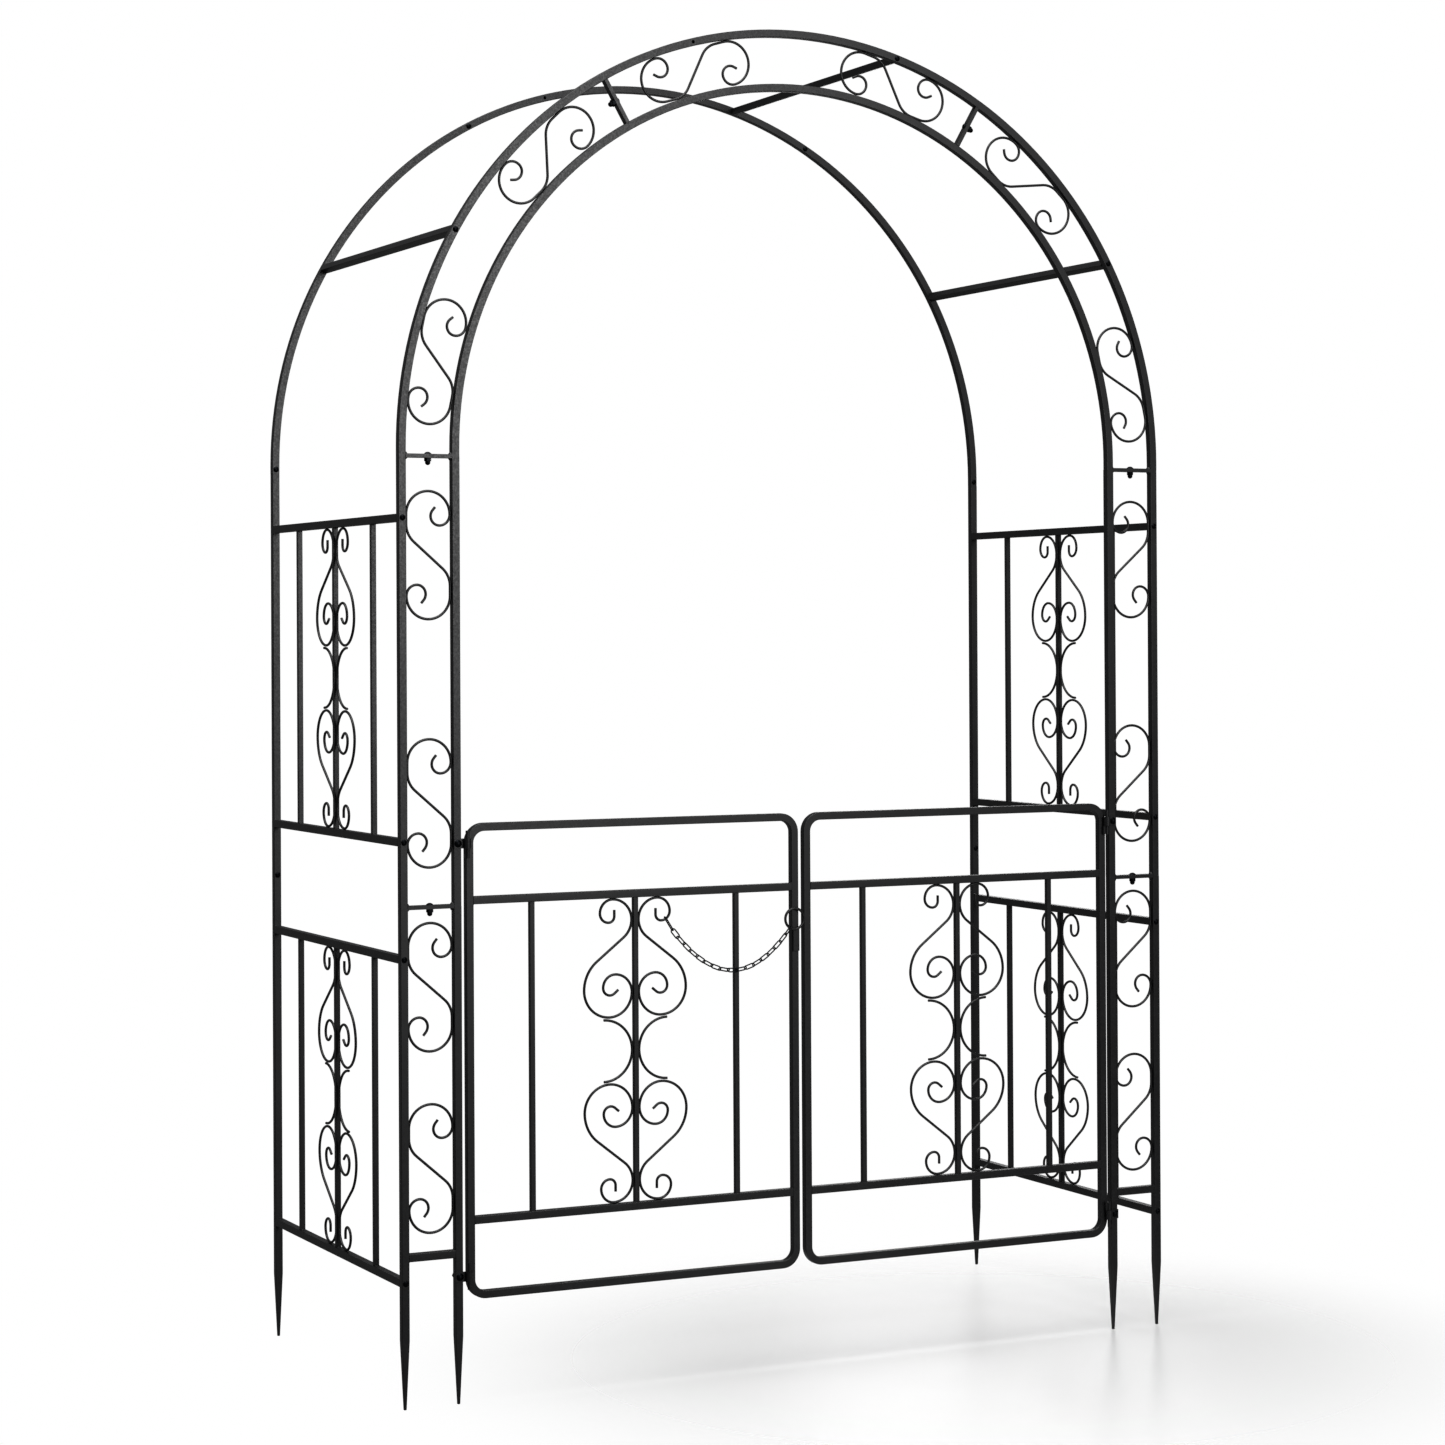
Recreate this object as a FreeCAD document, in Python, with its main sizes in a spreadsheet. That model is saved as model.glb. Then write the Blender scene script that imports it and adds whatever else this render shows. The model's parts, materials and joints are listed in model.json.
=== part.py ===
import FreeCAD, Part

import math
import os
import re

import Sketcher
from FreeCAD import Placement, Rotation, Vector

# Garden arch with a double gate. X runs across the opening, Y from front to back,
# Z up. The origin is on the ground, midway between the front ladder and the back frame.

SIZES = {
    # square tube, square bar and round wire
    "tube_side": 12.0,
    "tube_wall": 1.2,
    "bar_side": 8.0,
    "bar_wall": 1.0,
    "wire_diameter": 4.0,
    "weld_gap": 0.03,
    # frame, between tube centre lines
    "outer_spacing": 1348.0,
    "ladder_spacing": 86.5,
    "frame_depth": 600.0,
    "arch_centre_height": 1454.0,
    # ground spikes
    "spike_length": 105.0,
    "spike_tip": 4.0,
    # joints between the tube sections
    "lower_joint_height": 757.0,
    "arch_lead": 13.0,
    "spigot_length": 26.0,
    "spigot_plug": 12.0,
    "spigot_clearance": 0.1,
    "joint_plate_thickness": 3.0,
    "foot_rail_height": 229.0,
    # side panels, rail centre lines: below the upper joint, above and below the lower joint,
    # and above the ground
    "upper_panel_drop": 94.0,
    "upper_panel_rise": 99.0,
    "lower_panel_drop": 78.0,
    "lower_panel_bottom": 191.0,
    "bar_pitch": 175.0,
    # cross tubes, in degrees up from the spring line
    "side_cross_angle": 29.6,
    "top_cross_angle": 74.2,
    # gate leaves, with the inner rails measured from the top and bottom tubes
    "leaf_post_gap": 8.0,
    "leaf_centre_gap": 10.0,
    "gate_top": 876.0,
    "gate_bottom": 163.5,
    "upper_rail_drop": 111.5,
    "lower_rail_rise": 114.0,
    "gate_corner_radius": 24.0,
    # hinges, measured from the leaf's top and bottom tubes
    "hinge_drop": 24.0,
    "hinge_rise": 30.5,
    "hinge_pin_diameter": 6.0,
    "hinge_clearance": 0.08,
    "hinge_strap": 2.5,
    "knuckle_length": 15.0,
    "hinge_gap": 0.4,
    "hinge_lug_length": 13.5,
    "hinge_lug_width": 6.5,
    "hinge_pin_overhang": 12.0,
    # screws and bolts
    "screw_diameter": 5.0,
    "screw_head_diameter": 9.5,
    "screw_head_height": 2.75,
    "socket_width": 3.0,
    "socket_depth": 1.8,
    "screw_grip": 10.0,
    "bolt_diameter": 6.0,
    "bolt_head_diameter": 12.0,
    "bolt_head_height": 3.3,
    "nut_width": 10.0,
    "nut_height": 5.0,
    "nut_cap_diameter": 8.0,
    "nut_cap_height": 6.0,
    "hole_clearance": 0.25,
    # scrolls, with those of the ladders measured from the nearest joint or foot rail
    "scroll_lean": 49.0,
    "scroll_reach": 62.0,
    "post_scroll_drop": 150.5,
    "post_scroll_rise": 157.0,
    "leg_scroll_drop": 121.5,
    "leg_scroll_rise": 132.0,
    "arch_scroll_low": 12.0,
    "arch_scroll_middle": 46.5,
    "arch_scroll_high": 73.6,
    "collar_radius": 48.0,
    # catch ring and chain on the left leaf
    "ring_drop": 50.5,
    "ring_radius": 16.5,
    "ring_side_gap": 1.25,
    "ring_stand_off": 3.0,
    "ring_lug_width": 10.0,
    "ring_lug_length": 36.0,
    "link_wire": 2.0,
    "link_inner_length": 15.6,
    "link_inner_width": 5.2,
    "link_play": 0.6,
    "seat_play": 0.3,
    "hook_length": 24.0,
    "chain_sag": 66.0,
    "chain_ring_angle": 63.0,
    "chain_facing": 26.0,
}

# Where things stand, as formulas over the sizes.
OUTER = "outer_spacing / 2"
INNER = "(outer_spacing / 2 - ladder_spacing)"
FRONT = "-frame_depth / 2"
BACK = "frame_depth / 2"
HALF = "tube_side / 2"
BORE = "(tube_side / 2 - tube_wall)"
UPPER_JOINT = "(arch_centre_height - arch_lead)"
SECTION_ANGLE = 60.0
UPPER_RAIL = "(gate_top - upper_rail_drop)"
LOWER_RAIL = "(gate_bottom + lower_rail_rise)"
UPPER_HINGE = "(gate_top - hinge_drop)"
LOWER_HINGE = "(gate_bottom + hinge_rise)"
STILE_OUT = f"({INNER} - tube_side - leaf_post_gap)"
STILE_IN = "((leaf_centre_gap + tube_side) / 2)"
LEAF_X = f"(({STILE_OUT} + {STILE_IN}) / 2)"
KNUCKLE = "(hinge_pin_diameter / 2 + hinge_clearance + hinge_strap)"
HINGE_X = f"({STILE_OUT} + {HALF})"
HINGE_Y = f"({FRONT} - {HALF} - {KNUCKLE} - hinge_gap)"

doc = FreeCAD.newDocument("trellis_arch")
sheet = doc.addObject("Spreadsheet::Sheet", "Sizes")
for row, (alias, value) in enumerate(SIZES.items(), start=1):
    sheet.set(f"A{row}", str(value))
    sheet.setAlias(f"A{row}", alias)
doc.recompute()

NODES = {}


def formula(text):
    """The expression with every size name pointing at the sheet."""
    def in_sheet(word):
        return f"Sizes.{word[0]}" if word[0] in SIZES else word[0]

    return re.sub(r"[a-z_]+", in_sheet, str(text))


def number(text):
    """The value of an expression, for shapes that are computed here."""
    return float(sheet.evalExpression(formula(text)))


def bind(item, **sizes):
    for name, text in sizes.items():
        item.setExpression(name, formula(text))
    return item


def place(item, x, y, z):
    for axis, text in zip("xyz", (x, y, z)):
        item.setExpression(f".Placement.Base.{axis}", formula(text))
    return item


def keep(label, item):
    """Makes an object a sub-part, with a node name of its own."""
    item.Label = label
    NODES[label] = item
    return item


def block(corner, opposite):
    """Box between two opposite corners."""
    box = doc.addObject("Part::Box", "Block")
    lengths = [f"abs(({b}) - ({a}))" for a, b in zip(corner, opposite)]
    bind(box, Length=lengths[0], Width=lengths[1], Height=lengths[2])
    lows = [f"(({a}) + ({b}) - {length}) / 2" for a, b, length in zip(corner, opposite, lengths)]
    return place(box, *lows)


def bar(axis, start, end, centre, half):
    """Square bar along one axis. centre holds its other two places, in order."""
    low = [f"({c}) - ({half})" for c in centre]
    high = [f"({c}) + ({half})" for c in centre]
    low.insert("xyz".index(axis), start)
    high.insert("xyz".index(axis), end)
    return block(low, high)


TURNS = {
    "z": Rotation(),
    "-z": Rotation(Vector(1, 0, 0), 180),
    "y": Rotation(Vector(1, 0, 0), -90),
    "-y": Rotation(Vector(1, 0, 0), 90),
}


def round_bar(axis, start, length, centre, radius):
    """Cylinder from a start along an axis, which may be reversed."""
    item = doc.addObject("Part::Cylinder", "Round")
    item.Placement = Placement(Vector(), TURNS[axis])
    bind(item, Radius=radius, Height=length)
    spot = list(centre)
    spot.insert("xyz".index(axis[-1]), start)
    return place(item, *spot)


def hexagon(axis, start, length, centre, width):
    item = doc.addObject("Part::Prism", "Hexagon")
    item.Polygon = 6
    item.Placement = Placement(Vector(), TURNS[axis])
    bind(item, Circumradius=f"({width}) / sqrt(3)", Height=length)
    spot = list(centre)
    spot.insert("xyz".index(axis[-1]), start)
    return place(item, *spot)


def along(axis, start, length):
    """A place further along an axis, which may be reversed."""
    sign = "-" if axis.startswith("-") else "+"
    return f"({start}) {sign} ({length})"


def dome(axis, face, height, centre, radius):
    """Round cap on a face: the top of a ball."""
    ball = f"((({radius}) ^ 2 + ({height}) ^ 2) / (2 * ({height})))"
    cap = doc.addObject("Part::Sphere", "Dome")
    cap.Placement = Placement(Vector(), TURNS[axis])
    bind(cap, Radius=ball, Angle1=f"asin(1 - ({height}) / {ball})")
    spot = list(centre)
    spot.insert("xyz".index(axis[-1]), along(axis, face, f"({height}) - {ball}"))
    return place(cap, *spot)


def join(*pieces):
    if len(pieces) == 1:
        return pieces[0]
    joined = doc.addObject("Part::MultiFuse", "Joined")
    joined.Shapes = list(pieces)
    return joined


def group(items):
    grouped = doc.addObject("Part::Compound", "Group")
    grouped.Links = list(items)
    return grouped


def cut(base, tools):
    if not tools:
        return base
    result = doc.addObject("Part::Cut", "CutPiece")
    result.Base = base
    result.Tool = tools[0] if len(tools) == 1 else group(tools)
    return result


def computed(label, shape):
    """Sub-part whose shape is swept by this script from the sheet's sizes."""
    item = doc.addObject("Part::Feature", label)
    item.Shape = shape
    return item


def tube(axis, start, end, centre, half=HALF, bore=BORE):
    return cut(bar(axis, start, end, centre, half), [bar(axis, start, end, centre, bore)])


def thin_tube(start, end, centre):
    """Upright infill bar of a panel or a gate."""
    return tube("z", start, end, centre, "bar_side / 2", "(bar_side / 2 - bar_wall)")


def screw_hole(start, centre, length="tube_side"):
    return round_bar("y", start, length, centre, "screw_diameter / 2 + hole_clearance")


# ---------------------------------------------------------------- straight sections


def spigot(x, y, top, length):
    """Thinner sleeve fixed in the top of a tube, which the next tube slides over."""
    ends = (f"{top} - spigot_plug", f"{top} + {length}")
    plug = bar("z", ends[0], top, (x, y), BORE)
    sleeve = bar("z", top, ends[1], (x, y), f"{BORE} - spigot_clearance")
    bore = bar("z", *ends, (x, y), f"{BORE} - spigot_clearance - tube_wall")
    return cut(join(plug, sleeve), [bore])


def spike(x, y):
    """Tapered solid point of a leg, with a small blunt tip on the ground."""
    wedge = doc.addObject("Part::Wedge", "Spike")
    wedge.Placement = Placement(Vector(), Rotation(Vector(1, 0, 0), -90))
    bind(wedge, Ymin="0", Ymax="spike_length")
    for name, half in (("", HALF), ("2", "spike_tip / 2")):
        for axis in "XZ":
            wedge.setExpression(f"{axis}{name}min", formula(f"-({half})"))
            wedge.setExpression(f"{axis}{name}max", formula(half))
    return place(wedge, x, y, "spike_length")


def leg(label, x, y, holes):
    body = join(
        tube("z", "spike_length", "lower_joint_height", (x, y)),
        spike(x, y),
        spigot(x, y, "lower_joint_height", "spigot_length"),
    )
    keep(label, cut(body, holes))


def post(label, x, y, holes):
    body = join(
        tube("z", "lower_joint_height", UPPER_JOINT, (x, y)),
        spigot(x, y, UPPER_JOINT, "arch_lead"),
    )
    keep(label, cut(body, holes))


PANELS = {
    "upper": ("(lower_joint_height + upper_panel_rise)", f"({UPPER_JOINT} - upper_panel_drop)"),
    "lower": ("lower_panel_bottom", "(lower_joint_height - lower_panel_drop)"),
}
SIDES = {"left": -1, "right": 1}


def rail_holes(x, y, level):
    return [screw_hole(f"{y} - {HALF}", (x, z)) for z in PANELS[level]]


# Heights of the screws that hold the back tubes on their spigots.
JOINT_SCREWS = ("lower_joint_height + spigot_length / 2", f"{UPPER_JOINT} + arch_lead / 2")


def joint_holes(x, heights):
    return [screw_hole(f"{BACK} - {HALF}", (x, height)) for height in heights]


def hinge_hole(x, height):
    hole = "bolt_diameter / 2 + hole_clearance"
    return round_bar("y", f"{FRONT} - {HALF}", "tube_side", (x, height), hole)


for name, side in SIDES.items():
    outer, inner = f"{side} * {OUTER}", f"{side} * {INNER}"
    leg(f"front_{name}_outer_leg", outer, FRONT, rail_holes(outer, FRONT, "lower"))
    leg(f"front_{name}_inner_leg", inner, FRONT, [hinge_hole(inner, LOWER_HINGE)])
    post(f"front_{name}_outer_post", outer, FRONT, rail_holes(outer, FRONT, "upper"))
    post(f"front_{name}_inner_post", inner, FRONT, [hinge_hole(inner, UPPER_HINGE)])
    lower_holes = rail_holes(outer, BACK, "lower") + joint_holes(outer, JOINT_SCREWS[:1])
    leg(f"back_{name}_leg", outer, BACK, lower_holes)
    upper_holes = rail_holes(outer, BACK, "upper") + joint_holes(outer, JOINT_SCREWS)
    post(f"back_{name}_post", outer, BACK, upper_holes)

# ---------------------------------------------------------------- arch sections


def sketch_in(body, plane, name):
    sketch = body.newObject("Sketcher::SketchObject", name)
    origin = [f for f in body.Origin.OriginFeatures if f.Role == plane][0]
    sketch.AttachmentSupport = (origin, "")
    sketch.MapMode = "FlatFace"
    return sketch


def limit(sketch, kind, *where, text):
    """Adds a dimension and binds it to a formula."""
    index = sketch.addConstraint(Sketcher.Constraint(kind, *where, number(text)))
    sketch.setExpression(f"Constraints[{index}]", formula(text))


def square(sketch, centre_x, half):
    """Square on the sketch's X axis."""
    x, r = number(centre_x), number(half)
    corners = [Vector(x - r, -r), Vector(x + r, -r), Vector(x + r, r), Vector(x - r, r)]
    first = sketch.GeometryCount
    for start, end in zip(corners, corners[1:] + corners[:1]):
        sketch.addGeometry(Part.LineSegment(start, end))
    low, right, top, left = range(first, first + 4)
    for one, other in ((low, right), (right, top), (top, left), (left, low)):
        sketch.addConstraint(Sketcher.Constraint("Coincident", one, 2, other, 1))
    for line in (low, top):
        sketch.addConstraint(Sketcher.Constraint("Horizontal", line))
    sketch.addConstraint(Sketcher.Constraint("Vertical", right))
    sketch.addConstraint(Sketcher.Constraint("Symmetric", left, 1, left, 2, -1))
    limit(sketch, "DistanceX", -1, 1, low, 1, text=f"({centre_x}) - ({half})")
    limit(sketch, "DistanceX", low, 1, low, 2, text=f"2 * ({half})")
    limit(sketch, "DistanceY", right, 1, right, 2, text=f"2 * ({half})")


def bend(body, name, radius, half, bore, start, angle):
    """Square tube bent about the body's Y axis, rising from a start angle."""
    sketch = sketch_in(body, "XY_Plane", f"{name}Profile")
    square(sketch, radius, half)
    square(sketch, radius, bore)
    sketch.AttachmentOffset = Placement(Vector(), Rotation(Vector(0, -1, 0), number(start) or 1))
    sketch.setExpression("AttachmentOffset.Rotation.Angle", formula(start))
    turned = body.newObject("PartDesign::Revolution", name)
    turned.Profile = sketch
    turned.ReferenceAxis = (sketch, ["V_Axis"])
    turned.Reversed = True
    bind(turned, Angle=angle)
    return sketch


def arch_section(label, radius, y, turn, ends, holes):
    """A sixty degree section. The side sections have a short straight start and a spigot."""
    body = doc.addObject("PartDesign::Body", "Section")
    profile = bend(body, "Bend", radius, HALF, BORE, "0", SECTION_ANGLE)
    if ends:
        lead = body.newObject("PartDesign::Pad", "Lead")
        lead.Profile = profile
        lead.Reversed = True
        bind(lead, Length="arch_lead")
        slim = f"{BORE} - spigot_clearance"
        plug_angle = f"spigot_plug / ({radius}) * 180 / pi"
        slim_angle = f"spigot_length / ({radius}) * 180 / pi"
        plug_start = f"{SECTION_ANGLE} - {plug_angle}"
        bend(body, "Plug", radius, BORE, f"{slim} - tube_wall", plug_start, plug_angle)
        bend(body, "Sleeve", radius, slim, f"{slim} - tube_wall", SECTION_ANGLE, slim_angle)
    body.Placement = Placement(Vector(), turn)
    place(body, "0", y, "arch_centre_height")
    keep(label, cut(body, holes))


def on_arch(side, angle, radius=OUTER):
    """X and Z of a point on an arch, at an angle up from one side's spring line."""
    return f"{side} * ({radius}) * cos({angle})", f"arch_centre_height + ({radius}) * sin({angle})"


# Angle of the screws through the back arch's spigots.
PAST_JOINT = f"({SECTION_ANGLE} + spigot_length / 2 / ({OUTER}) * 180 / pi)"


def arch_holes(name, y, radius):
    """Holes for the cross tube screws and for the screws through the back joints."""
    if radius == INNER:
        return []
    side = SIDES.get(name)
    front_face = f"{y} - {HALF}"
    if side is None:
        spots = [on_arch(s, "top_cross_angle") for s in (-1, 1)]
        spots += [on_arch(s, PAST_JOINT) for s in (-1, 1) if y == BACK]
    else:
        spots = [on_arch(side, "side_cross_angle")]
        if y == BACK:
            spots.append(on_arch(side, PAST_JOINT))
            spots.append((f"{side} * ({radius})", JOINT_SCREWS[1]))
    return [screw_hole(front_face, spot) for spot in spots]


ARCH_TURNS = {
    "right": Rotation(),
    "left": Rotation(Vector(0, 0, 1), 180),
    "top": Rotation(Vector(0, 1, 0), -SECTION_ANGLE),
}
ARCHES = {"front_outer": (FRONT, OUTER), "front_inner": (FRONT, INNER), "back": (BACK, OUTER)}
for name, turn in ARCH_TURNS.items():
    for row_name, (y, radius) in ARCHES.items():
        holes = arch_holes(name, y, radius)
        arch_section(f"{row_name}_arch_{name}", radius, y, turn, name != "top", holes)

# ---------------------------------------------------------------- rails and cross tubes


def tie(centre=("0", "0")):
    """Tube from the front frame to the back frame, with a threaded plug in each end."""
    ends = (f"{FRONT} + {HALF}", f"{BACK} - {HALF}")
    tie_tube = tube("y", *ends, centre)
    plugs = [
        bar("y", ends[0], f"{ends[0]} + screw_grip", centre, BORE),
        bar("y", ends[1], f"{ends[1]} - screw_grip", centre, BORE),
    ]
    thread = round_bar("y", ends[0], f"({ends[1]}) - ({ends[0]})", centre, "screw_diameter / 2 + weld_gap")
    return cut(join(tie_tube, *plugs), [thread])


for name, side in SIDES.items():
    for level, heights in PANELS.items():
        x = f"{side} * {OUTER}"
        pieces = [tie((x, z)) for z in heights]
        low, high = f"{heights[0]} + {HALF}", f"{heights[1]} - {HALF}"
        for y in ("-bar_pitch", "0", "bar_pitch"):
            pieces.append(thin_tube(low, high, (x, y)))
        keep(f"{name}_{level}_panel_frame", group(pieces))

CROSS_TUBES = {
    "left_cross_tube": (-1, "side_cross_angle"),
    "right_cross_tube": (1, "side_cross_angle"),
    "top_cross_tube": (1, "top_cross_angle"),
}
for label, (side, angle) in CROSS_TUBES.items():
    cross = tie()
    cross.Placement = Placement(Vector(), Rotation(Vector(0, 1, 0), -side * number(angle)))
    x, z = on_arch(side, angle)
    cross.setExpression(".Placement.Rotation.Angle", formula(angle))
    place(cross, x, "0", z)
    keep(label, cross)

foot_rails = []
for side in SIDES.values():
    ends = (f"{side} * ({OUTER} - {HALF})", f"{side} * ({INNER} + {HALF})")
    foot_rails.append(tube("x", *ends, (FRONT, "foot_rail_height")))
keep("ladder_foot_rails", group(foot_rails))

# ---------------------------------------------------------------- joint plates, bolts and screws


BACKWARDS = {"y": "-y", "-y": "y", "z": "-z", "-z": "z"}


def domed_bolt(axis, face, length, centre):
    """Bolt whose low round head stands on a face and whose shank points along an axis."""
    return join(
        round_bar(axis, face, length, centre, "bolt_diameter / 2"),
        dome(BACKWARDS[axis], face, "bolt_head_height", centre, "bolt_head_diameter / 2"),
    )


def cap_nut(axis, face, centre):
    """Nut closed by a round cap, with the end of the bolt inside it."""
    cap_radius = "(nut_cap_diameter / 2)"
    collar = f"(nut_cap_height - {cap_radius})"
    outside = join(
        hexagon(axis, face, "nut_height", centre, "nut_width"),
        round_bar(axis, along(axis, face, "nut_height"), collar, centre, cap_radius),
        dome(axis, along(axis, face, f"nut_height + {collar}"), cap_radius, centre, cap_radius),
    )
    bore = round_bar(axis, face, "nut_height", centre, "bolt_diameter / 2 + weld_gap")
    return cut(outside, [bore])


def joint_set(turn, spot):
    """Two plates across the ladder with a bolt and a nut, laid out flat and then placed."""
    reach = "((ladder_spacing - tube_side) / 2 - weld_gap)"
    hole = round_bar("z", "-joint_plate_thickness", "2 * joint_plate_thickness", ("0", "0"),
                     "bolt_diameter / 2 + hole_clearance")
    plates = []
    for end in ("-joint_plate_thickness", "joint_plate_thickness"):
        plate = block((f"-{reach}", f"-{HALF}", "0"), (reach, HALF, end))
        plates.append(cut(plate, [hole]))
    shank_length = "2 * joint_plate_thickness + nut_height"
    bolt = domed_bolt("-z", "joint_plate_thickness", shank_length, ("0", "0"))
    nut = cap_nut("-z", "-joint_plate_thickness", ("0", "0"))
    for item in (*plates, bolt, nut):
        item.Placement = Placement(Vector(), turn)
        place(item, *spot)
    return plates, [bolt, nut]


LADDER_MIDDLE = "(outer_spacing / 2 - ladder_spacing / 2)"
plates, bolts = [], []
for side in SIDES.values():
    spots = [(f"{side} * {LADDER_MIDDLE}", FRONT, z) for z in ("lower_joint_height", UPPER_JOINT)]
    turns = [Rotation(), Rotation()]
    x, z = on_arch(side, SECTION_ANGLE, LADDER_MIDDLE)
    spots.append((x, FRONT, z))
    turns.append(Rotation(Vector(0, 1, 0), -side * SECTION_ANGLE))
    for spot, turn in zip(spots, turns):
        pair, fastener = joint_set(turn, spot)
        plates += pair
        bolts += fastener
keep("joint_plates", group(plates))
keep("joint_bolts", group(bolts))


def screw(face, direction, centre, length):
    """Button head screw with its head on a face, pointing along an axis."""
    out = BACKWARDS[direction]
    shank = round_bar(direction, face, length, centre, "screw_diameter / 2")
    head = dome(out, face, "screw_head_height", centre, "screw_head_diameter / 2")
    crown = along(out, face, "screw_head_height")
    socket = hexagon(direction, crown, "socket_depth", centre, "socket_width")
    return cut(join(shank, head), [socket])


def tie_screws(centre):
    """The two screws that hold one rail or cross tube."""
    length = "tube_side + screw_grip"
    return [
        screw(f"{FRONT} - {HALF}", "y", centre, length),
        screw(f"{BACK} + {HALF}", "-y", centre, length),
    ]


screws = []
for side in SIDES.values():
    for level in PANELS.values():
        for z in level:
            screws += tie_screws((f"{side} * {OUTER}", z))
keep("panel_screws", group(screws))

screws = []
for side, angle in CROSS_TUBES.values():
    screws += tie_screws(on_arch(side, angle))
keep("cross_tube_screws", group(screws))

screws = []
for side in SIDES.values():
    spots = [(f"{side} * {OUTER}", z) for z in JOINT_SCREWS]
    spots.append(on_arch(side, PAST_JOINT))
    for spot in spots:
        screws.append(screw(f"{BACK} - {HALF}", "y", spot, "tube_side"))
keep("back_joint_screws", group(screws))

# ---------------------------------------------------------------- hinges


def hinge_bracket(side, height):
    """Strap on the face of the inner post, rolled round the pin at its end."""
    face = f"{FRONT} - {HALF}"
    low, high = f"{height} - knuckle_length / 2", f"{height} + knuckle_length / 2"
    strap = block(
        (f"{side} * ({INNER} + {HALF})", face, low),
        (f"{side} * ({HINGE_X} + hinge_gap)", f"{face} - hinge_strap", high),
    )
    spot = (f"{side} * {HINGE_X}", HINGE_Y)
    knuckle = round_bar("z", low, "knuckle_length", spot, KNUCKLE)
    bore = round_bar("z", low, "knuckle_length", spot, "hinge_pin_diameter / 2 + hinge_clearance")
    hole = round_bar("y", f"{face} - hinge_strap", "hinge_strap", (f"{side} * {INNER}", height),
                     "bolt_diameter / 2 + hole_clearance")
    return cut(join(strap, knuckle), [bore, hole])


def hinge_bolt(side, height):
    spot = (f"{side} * {INNER}", height)
    strap_face = f"{FRONT} - {HALF} - hinge_strap"
    bolt = domed_bolt("y", strap_face, "hinge_strap + tube_side + nut_height", spot)
    return [bolt, cap_nut("y", f"{FRONT} + {HALF}", spot)]


def hinge_pin(side, height, lug_side):
    """Pin through the knuckle, with a lug that is welded to the face of the gate stile."""
    spot = (f"{side} * {HINGE_X}", HINGE_Y)
    near = f"{height} + {lug_side} * (knuckle_length / 2 + hinge_gap)"
    far = f"{near} + {lug_side} * hinge_lug_length"
    end = f"{height} - {lug_side} * (knuckle_length / 2 + hinge_pin_overhang)"
    low = end if lug_side > 0 else far
    pin = round_bar("z", low, f"abs(({far}) - ({end}))", spot, "hinge_pin_diameter / 2")
    lug = block(
        (f"{side} * {HINGE_X}", f"{FRONT} - {HALF}", near),
        (f"{side} * ({HINGE_X} - hinge_lug_width)", HINGE_Y, far),
    )
    return join(pin, lug)


HINGES = {UPPER_HINGE: -1, LOWER_HINGE: 1}
brackets, bolts = [], []
for side in SIDES.values():
    for height in HINGES:
        brackets.append(hinge_bracket(side, height))
        bolts += hinge_bolt(side, height)
keep("hinge_brackets", group(brackets))
keep("hinge_bolts", group(bolts))

# ---------------------------------------------------------------- gate leaves


def rounded_loop(sketch, half_width, half_height, radius):
    """Rectangle with round corners, centred on the sketch's origin."""
    w, t, r = number(half_width), number(half_height), number(radius)
    first = sketch.GeometryCount
    runs = [((r - w, -t), (w - r, -t)), ((w, r - t), (w, t - r))]
    runs += [((w - r, t), (r - w, t)), ((-w, t - r), (-w, r - t))]
    centres = [(w - r, r - t), (w - r, t - r), (r - w, t - r), (r - w, r - t)]
    for turn, ((start, end), centre) in enumerate(zip(runs, centres)):
        sketch.addGeometry(Part.LineSegment(Vector(*start), Vector(*end)))
        circle = Part.Circle(Vector(*centre), Vector(0, 0, 1), r)
        begin = (turn - 1) * math.pi / 2
        sketch.addGeometry(Part.ArcOfCircle(circle, begin, begin + math.pi / 2))
    for turn in range(4):
        line, arc = first + 2 * turn, first + 2 * turn + 1
        following = first + (2 * turn + 2) % 8
        sketch.addConstraint(Sketcher.Constraint("Tangent", line, 2, arc, 1))
        sketch.addConstraint(Sketcher.Constraint("Tangent", arc, 2, following, 1))
        if turn:
            sketch.addConstraint(Sketcher.Constraint("Equal", first + 1, arc))
    low, right, top, left = range(first, first + 8, 2)
    sketch.addConstraint(Sketcher.Constraint("Horizontal", top))
    sketch.addConstraint(Sketcher.Constraint("Vertical", left))
    sketch.addConstraint(Sketcher.Constraint("Symmetric", low, 1, low, 2, -2))
    sketch.addConstraint(Sketcher.Constraint("Symmetric", right, 1, right, 2, -1))
    limit(sketch, "Radius", first + 1, text=radius)
    limit(sketch, "DistanceX", low, 1, low, 2, text=f"2 * (({half_width}) - ({radius}))")
    limit(sketch, "DistanceY", right, 1, right, 2, text=f"2 * (({half_height}) - ({radius}))")


def leaf_frame(side):
    """One tube bent into a closed frame with round corners."""
    body = doc.addObject("PartDesign::Body", "LeafFrame")
    half_width = f"({STILE_OUT} - {STILE_IN}) / 2"
    half_height = "(gate_top - gate_bottom) / 2"
    outside = (HALF, "PartDesign::Pad", "tube_side")
    hollow = (BORE, "PartDesign::Pocket", "tube_side - 2 * tube_wall")
    for half, kind, depth in (outside, hollow):
        sketch = sketch_in(body, "XZ_Plane", "FrameOutline")
        for grow in (f"+ {half}", f"- {half}"):
            spans = (f"{span} {grow}" for span in (half_width, half_height, "gate_corner_radius"))
            rounded_loop(sketch, *spans)
        feature = body.newObject(kind, "FrameDepth")
        feature.Profile = sketch
        feature.Midplane = True
        bind(feature, Length=depth)
    place(body, f"{side} * {LEAF_X}", FRONT, "(gate_top + gate_bottom) / 2")
    return body


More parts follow.
